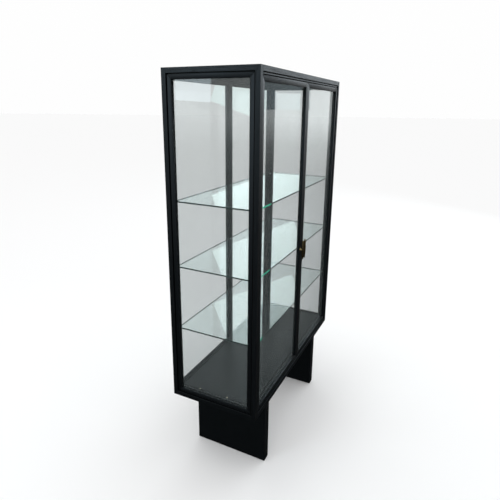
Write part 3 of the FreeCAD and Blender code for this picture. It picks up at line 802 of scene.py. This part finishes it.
# %% Glass pieces
def glass_sheet(node, clear, rim, arris):
    """A pane or a shelf, clear on its two broad faces, with its edges dubbed."""
    low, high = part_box(node)
    size = high - low
    thin = min(range(3), key=lambda i: size[i])
    bm = bmesh.new()
    for v in bmesh.ops.create_cube(bm, size=1.0)["verts"]:
        v.co = Vector([low[i] + (v.co[i] + 0.5) * size[i] for i in range(3)])
    bmesh.ops.recalc_face_normals(bm, faces=bm.faces)
    bmesh.ops.bevel(bm, geom=bm.edges[:], offset=arris, segments=ARRIS_STEPS, profile=0.5, affect="EDGES")
    for face in bm.faces:
        face.material_index = 0 if abs(face.normal[thin]) > 0.999 else 1
    mesh = bpy.data.meshes.new(node + "_made")
    bm.to_mesh(mesh)
    bm.free()
    sheet = settle(mesh, node, [clear, rim])
    sheet.visible_shadow = False
    sheet.visible_diffuse = False
    return sheet


PANE_ARRIS = 0.3 * MM
SHELF_ARRIS = 0.6 * MM
for name in PANELS:
    glass_sheet(name + "_glass", PANE_GLASS, PANE_EDGE, PANE_ARRIS)
for name, finish in SHELF_GLASS.items():
    glass_sheet(name, finish, SHELF_EDGE_WITH_PAINTED_GLOW, SHELF_ARRIS).visible_glossy = False
print("panes:", len(PANELS), "shelves:", len(SHELF_GLASS))

# %% [markdown]
# ## Turned pieces
#
# Handles, pins, washers, glides and bolts are all turned shapes.  A lathe helper takes half of the outline,
# as points of radius and height, and carries it round the axis.  Rounded ends are made with a few points on
# an arc, worked out rather than listed.

# %% Lathe helper
ON_AXIS = 1e-7
SHARP = math.radians(35)


def arc(centre, radius, start, end, steps):
    """Points on an arc in (radius, height), angles in degrees from straight out."""
    turn = [math.radians(start + (end - start) * i / steps) for i in range(steps + 1)]
    return [(centre[0] + radius * math.cos(t), centre[1] + radius * math.sin(t)) for t in turn]


def lathe(bm, profile, place=Matrix.Identity(4), steps=40, closed=False):
    """Carry (radius, height) points round Z.  A closed profile makes a ring; an open one starts and ends
    on the axis."""
    rings = []
    turns = [2 * math.pi * i / steps for i in range(steps)]
    for radius, height in profile:
        if radius < ON_AXIS:
            rings.append([bm.verts.new(place @ Vector((0.0, 0.0, height)))])
            continue
        spots = [Vector((radius * math.cos(turn), radius * math.sin(turn), height)) for turn in turns]
        rings.append([bm.verts.new(place @ spot) for spot in spots])
    pairs = list(zip(rings, rings[1:] + rings[:1])) if closed else list(zip(rings, rings[1:]))
    made = []
    for first, second in pairs:
        for i in range(steps):
            j = (i + 1) % steps
            corners = []
            for ring, number in ((first, i), (first, j), (second, j), (second, i)):
                v = ring[number % len(ring)]
                if v not in corners:
                    corners.append(v)
            if len(corners) > 2:
                face = bm.faces.new(corners)
                face.smooth = True
                made.append(face)
    return made


def mesh_of(bm, name):
    """The plain mesh of what was turned, smooth but for its sharp edges."""
    bmesh.ops.recalc_face_normals(bm, faces=bm.faces)
    for edge in bm.edges:
        edge.smooth = edge.calc_face_angle(0.0) < SHARP
    mesh = bpy.data.meshes.new(name)
    bm.to_mesh(mesh)
    bm.free()
    return mesh


# %% [markdown]
# ## Handles
#
# Each handle is an upright brass bar, thickest where it meets its stem and drawn in towards both ends, with
# the ends just rounded.  The stem stands on a small domed rose.  The bar bulges by a shallow arc, so its
# radius at any height comes from the circle through the middle and the two ends.

# %% Handles
BAR_END = 0.56                         # end radius as a share of the middle radius
NOSE = 1.6 * MM
STEM_NECK = 3.2 * MM
STEM_NECK_AT = 0.55                    # share of the way from the rose to the bar
STEM_FOOT = 4.0 * MM
STEM_FLARE = 2.0 * MM
STEM_FILLET = 0.8 * MM
ROSE = 3.0 * MM
ROSE_FOOT = 0.5 * MM
ROSE_DOME = 1.6 * MM


def bar_profile(middle, half):
    """Half of the bar's outline, from its middle radius and half its length."""
    end = middle * BAR_END
    sag = middle - end
    circle = (half * half + sag * sag) / (2 * sag)
    heights = [half * (-1 + 2 * i / 24) for i in range(25)]
    side = []
    for height in heights[1:-1]:
        side.append((middle - circle + math.sqrt(circle * circle - height * height), height))
    low = arc((end - NOSE, -half + NOSE), NOSE, -90, 0, 5)
    high = arc((end - NOSE, half - NOSE), NOSE, 0, 90, 5)
    inside = [point for point in side if abs(point[1]) < half - NOSE]
    return [(0.0, -half)] + low + inside + high + [(0.0, half)]


def make_handle(side):
    """A door's bar and its stem with the rose; gives back how far the bar's axis stands off the door."""
    low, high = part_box(side + "_handle_bar")
    centre = (low + high) / 2
    bm = bmesh.new()
    lathe(bm, bar_profile((high.x - low.x) / 2, (high.z - low.z) / 2), Matrix.Translation(centre))
    settle(mesh_of(bm, side + "_bar"), side + "_handle_bar", [AGED_BRASS])

    low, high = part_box(side + "_handle_stem")
    door_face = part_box(side + "_door_frame")[0].y
    rose = (high.x - low.x) / 2
    reach = door_face - centre.y
    profile = [(0.0, 0.0), (rose - ROSE_FOOT, 0.0), (rose, ROSE_FOOT)]
    profile += arc((rose - ROSE_DOME, ROSE - ROSE_DOME), ROSE_DOME, 0, 90, 5)
    profile += arc((STEM_FOOT + STEM_FILLET, ROSE + STEM_FILLET), STEM_FILLET, 270, 180, 4)
    profile += [(STEM_NECK, ROSE + STEM_NECK_AT * (reach - ROSE)), (STEM_FOOT, reach - STEM_FLARE),
                (STEM_FOOT, reach), (0.0, reach)]
    bm = bmesh.new()
    forward = Matrix.Translation((centre.x, door_face, centre.z)) @ Matrix.Rotation(math.pi / 2, 4, "X")
    lathe(bm, profile, forward)
    settle(mesh_of(bm, side + "_stem"), side + "_handle_stem", [RUBBED_BRASS])
    return reach


for side in ("left", "right"):
    reach = make_handle(side)
    print(side, "handle stands", round(reach / MM, 1), "mm out")

# %% [markdown]
# ## Small fittings that repeat
#
# Shelf pins, glides, bolts, bushes and bumpers each repeat one piece.  A second tree sets a piece out on
# points: every point carries an aim, and the piece's own X axis is turned to it about the upright.  The
# points are the middles of the solids that the working model has there.

# %% The set-out tree
def set_out_tree():
    """A piece copied to each point and turned to the point's aim."""
    tree = bpy.data.node_groups.new("set_out", "GeometryNodeTree")
    face = tree.interface
    face.new_socket("Geometry", in_out="INPUT", socket_type="NodeSocketGeometry")
    face.new_socket("Piece", in_out="INPUT", socket_type="NodeSocketObject")
    face.new_socket("Material", in_out="INPUT", socket_type="NodeSocketMaterial")
    face.new_socket("Geometry", in_out="OUTPUT", socket_type="NodeSocketGeometry")
    given = add(tree, "NodeGroupInput").outputs
    piece = add(tree, "GeometryNodeObjectInfo", {"Object": given["Piece"]}).outputs["Geometry"]
    aim = add(tree, "GeometryNodeInputNamedAttribute", {"Name": "aim"}, data_type="FLOAT_VECTOR")
    turn = add(tree, "FunctionNodeAlignRotationToVector", {"Vector": aim.outputs["Attribute"]},
               axis="X", pivot_axis="Z")
    points = add(tree, "GeometryNodeInstanceOnPoints", {"Points": given["Geometry"], "Instance": piece,
                                                        "Rotation": turn.outputs[0]})
    real = add(tree, "GeometryNodeRealizeInstances", {"Geometry": points.outputs[0]})
    shown = add(tree, "GeometryNodeSetMaterial", {"Geometry": real.outputs[0], "Material": given["Material"]})
    add(tree, "NodeGroupOutput", {"Geometry": shown.outputs[0]})
    return tree


SET_OUT = set_out_tree()


def set_out(node, piece_mesh, material, places, aims=None):
    """Copy a mesh to each place and settle the lot as the piece for a node."""
    mesh = bpy.data.meshes.new(node + "_points")
    mesh.from_pydata([tuple(p) for p in places], [], [])
    layer = mesh.attributes.new("aim", "FLOAT_VECTOR", "POINT")
    for i, aim in enumerate(aims or [Vector((1.0, 0.0, 0.0))] * len(places)):
        layer.data[i].vector = aim
    carrier = bpy.data.objects.new(node + "_points", mesh)
    pattern = bpy.data.objects.new(node + "_pattern", piece_mesh)
    bpy.context.scene.collection.objects.link(pattern)
    made = grown(carrier, SET_OUT, {"Piece": pattern, "Material": material})
    bpy.data.objects.remove(pattern)
    made.materials.clear()
    piece = settle(made, node, [material])
    print(node, "set out", len(places), "times,", len(made.polygons), "faces")
    return piece


def middle(pair):
    return (pair[0] + pair[1]) / 2


# %% [markdown]
# ### Shelf pins
#
# A pin has a stub in the frame, a collar against it and a tongue that the glass rests on.  The tongue's top
# is filed flat.  It is modelled once along X, with its collar's seat at the origin.

# %% Shelf pins
PIN_R = 2.5 * MM
PIN_IN = 9.0 * MM
PIN_OUT = 9.0 * MM
COLLAR_R = 4.0 * MM
COLLAR = 1.2 * MM
COLLAR_EASE = 0.4 * MM
PIN_NOSE = 0.8 * MM
FLAT = 1.5 * MM


def shelf_pin_mesh():
    """One pin along X, which points into the case."""
    bm = bmesh.new()
    rim = COLLAR_R - COLLAR_EASE
    profile = [(0.0, -PIN_IN), (PIN_R, -PIN_IN), (PIN_R, 0.0), (rim, 0.0), (COLLAR_R, COLLAR_EASE),
               (COLLAR_R, COLLAR - COLLAR_EASE), (rim, COLLAR), (PIN_R, COLLAR)]
    profile += arc((PIN_R - PIN_NOSE, PIN_OUT - PIN_NOSE), PIN_NOSE, 0, 90, 4) + [(0.0, PIN_OUT)]
    lathe(bm, profile, Matrix.Rotation(math.pi / 2, 4, "Y"), steps=24)
    for v in bm.verts:
        if v.co.x > 1e-6:
            v.co.z = min(v.co.z, FLAT)
    return mesh_of(bm, "shelf_pin")


def pin_seat(pair):
    """Where a pin's collar meets its frame, and which way it points."""
    low, high = pair
    spot = middle(pair)
    spot.z = high.z - FLAT
    if high.x - low.x > high.y - low.y:
        aim = Vector((1.0 if spot.x < 0 else -1.0, 0.0, 0.0))
        spot.x = low.x + PIN_IN if aim.x > 0 else high.x - PIN_IN
    else:
        aim = Vector((0.0, -1.0, 0.0))
        spot.y = high.y - PIN_IN
    return spot, aim


seats = [pin_seat(pair) for pair in islands("shelf_pins")]
set_out("shelf_pins", shelf_pin_mesh(), ZINC, [s[0] for s in seats], [s[1] for s in seats])

# %% [markdown]
# ### Door and leg fittings
#
# The rest are plain turned parts.  A rod has both ends chamfered, a ring is eased on its outside, and a dome
# is a quarter of an ellipse.

# %% Turned shapes
def eased_rod(radius, length, ease_by):
    """A rod along Z from the origin with both ends chamfered."""
    return [(0.0, 0.0), (radius - ease_by, 0.0), (radius, ease_by), (radius, length - ease_by),
            (radius - ease_by, length), (0.0, length)]


def ring_profile(outer, inner, length, ease_by):
    """A ring round Z from the origin, for a closed profile."""
    return [(inner, 0.0), (outer - ease_by, 0.0), (outer, ease_by), (outer, length - ease_by),
            (outer - ease_by, length), (inner, length)]


def dome(radius, foot, rise):
    """From a radius at the dome's foot up to the axis, in steps of 15 degrees."""
    turns = [math.radians(15 * i) for i in range(6)]
    return [(radius * math.cos(t), foot + rise * math.sin(t)) for t in turns] + [(0.0, foot + rise)]


def turned_mesh(profile, name, place=Matrix.Identity(4), closed=False, steps=32):
    bm = bmesh.new()
    lathe(bm, profile, place, steps, closed)
    return mesh_of(bm, name)


INWARD = Matrix.Rotation(-math.pi / 2, 4, "X")    # carries +Z to +Y, from the front to the back


def upright_places(node):
    """The foot of each solid of a node, on its own axis."""
    return [Vector((*middle(pair).xy, pair[0].z)) for pair in islands(node)]


def inward_places(node):
    """The front end of each solid of a node, on its own axis."""
    return [Vector((middle(pair).x, pair[0].y, middle(pair).z)) for pair in islands(node)]


def first_size(node):
    """The size of the first solid of a node, of which the others are copies."""
    low, high = islands(node)[0]
    return high - low


# %% [markdown]
# #### Pivots
#
# Each door turns on a pin below and a pin above.  The lower one passes through a washer that carries the door.

# %% Pivot pins and washers
WASHER_CLEAR = 0.02 * MM
washer = first_size("pivot_washers")
pin = first_size("pivot_pins")
washer_ring = ring_profile(washer.x / 2, pin.x / 2 + WASHER_CLEAR, washer.z, 0.4 * MM)
set_out("pivot_washers", turned_mesh(washer_ring, "washer", closed=True), BLACK_NYLON,
        upright_places("pivot_washers"))

bm = bmesh.new()
pins = islands("pivot_pins")
for low, high in pins:
    foot = Matrix.Translation((*middle((low, high)).xy, low.z))
    lathe(bm, eased_rod((high.x - low.x) / 2, high.z - low.z, 0.6 * MM), foot, 32)
settle(mesh_of(bm, "pivot_pins"), "pivot_pins", [ZINC])
print("pivot pins:", len(pins), "lengths", sorted({round(high.z - low.z, 5) for low, high in pins}))

# %% [markdown]
# #### What each door carries
#
# Two bushes are pressed into the door for the pivot pins.  Two domed bumpers of clear rubber and a strike disc
# sit on its back, and the strike is held by a screw with a sunk head.

# %% Bushes, bumpers and strikes
BUSH_CLEAR = 0.05 * MM
BUMPER_SIDE = 0.35                     # share of a bumper's height that is straight
for side in ("left", "right"):
    node = side + "_door_bushes"
    bush = first_size(node)
    bush_ring = ring_profile(bush.x / 2, pin.x / 2 + BUSH_CLEAR, bush.z, 0.3 * MM)
    set_out(node, turned_mesh(bush_ring, "bush", closed=True), TURNED_BRASS, upright_places(node))

    node = side + "_door_bumpers"
    bumper = first_size(node)
    thick = bumper.y
    button = [(0.0, 0.0), (bumper.x / 2, 0.0)]
    button += dome(bumper.x / 2, thick * BUMPER_SIDE, thick * (1 - BUMPER_SIDE))
    set_out(node, turned_mesh(button, "bumper", INWARD), CLEAR_RUBBER, inward_places(node))

    node = side + "_door_strike"
    strike = first_size(node)
    radius, thick = strike.x / 2, strike.y
    plate = [(0.0, 0.0), (radius, 0.0), (radius, thick - 0.3 * MM), (radius - 0.3 * MM, thick)]
    plate += [(2.6 * MM, thick), (2.2 * MM, thick - 0.4 * MM), (0.5 * MM, thick - 0.4 * MM),
              (0.0, thick - 0.7 * MM)]
    set_out(node, turned_mesh(plate, "strike", INWARD), NICKEL, inward_places(node))

# %% [markdown]
# #### Magnets
#
# A magnet stands in the stop strip behind each strike.  A groove runs round its pole, inside the cup.

# %% Magnets
magnet = first_size("catch_magnets")
cup = [(0.0, 0.0), (magnet.x * 0.36, 0.0), (magnet.x * 0.38, 0.3 * MM), (magnet.x * 0.40, 0.0),
       (magnet.x / 2 - 0.3 * MM, 0.0), (magnet.x / 2, 0.3 * MM), (magnet.x / 2, magnet.y), (0.0, magnet.y)]
set_out("catch_magnets", turned_mesh(cup, "magnet", INWARD), NICKEL, inward_places("catch_magnets"))

# %% [markdown]
# #### Floor pins
#
# Two bright pins with round heads stand in each end of the floor board.

# %% Floor pins
FLOOR_PIN_SHANK = 1.2 * MM
FLOOR_PIN_HEAD = 1.2 * MM
floor_pin = first_size("floor_pins")
seat = floor_pin.z - FLOOR_PIN_HEAD
round_head = [(0.0, 0.0), (FLOOR_PIN_SHANK, 0.0), (FLOOR_PIN_SHANK, seat)]
round_head += dome(floor_pin.x / 2, seat, FLOOR_PIN_HEAD)
set_out("floor_pins", turned_mesh(round_head, "floor_pin"), PIN_BRASS, upright_places("floor_pins"))

# %% [markdown]
# #### Legs
#
# Bolts with a socket in the head come down through the bottom board into inserts in the legs' tops.  A glide
# stands under each end of a leg.

# %% Leg fittings
BOLT_R = 4.0 * MM
BOLT_HEAD = 5.0 * MM
BOLT_LEAD = 0.8 * MM
HEAD_EASE = 0.6 * MM
SOCKET_R = 3.4 * MM
SOCKET = 3.0 * MM
SOCKET_TIP = 3.6 * MM
INSERT_CLEAR = 0.02 * MM
GLIDE_EASE = 1.2 * MM
bolt = first_size("leg_bolts")
head_r, under_head = bolt.x / 2, bolt.z - BOLT_HEAD
bolt_profile = [(0.0, 0.0), (BOLT_R - BOLT_LEAD, 0.0), (BOLT_R, BOLT_LEAD), (BOLT_R, under_head),
                (head_r, under_head), (head_r, bolt.z - HEAD_EASE), (head_r - HEAD_EASE, bolt.z),
                (SOCKET_R, bolt.z), (SOCKET_R, bolt.z - SOCKET), (0.0, bolt.z - SOCKET_TIP)]
set_out("leg_bolts", turned_mesh(bolt_profile, "bolt"), ZINC, upright_places("leg_bolts"))

insert = first_size("leg_inserts")
insert_ring = ring_profile(insert.x / 2, BOLT_R + INSERT_CLEAR, insert.z, 0.5 * MM)
set_out("leg_inserts", turned_mesh(insert_ring, "insert", closed=True), ZINC, upright_places("leg_inserts"))

glide = first_size("leg_glides")
glide_r = glide.x / 2
foot = [(0.0, 0.0), (glide_r - GLIDE_EASE, 0.0), (glide_r, GLIDE_EASE), (glide_r, glide.z), (0.0, glide.z)]
set_out("leg_glides", turned_mesh(foot, "glide"), BLACK_NYLON, upright_places("leg_glides"))
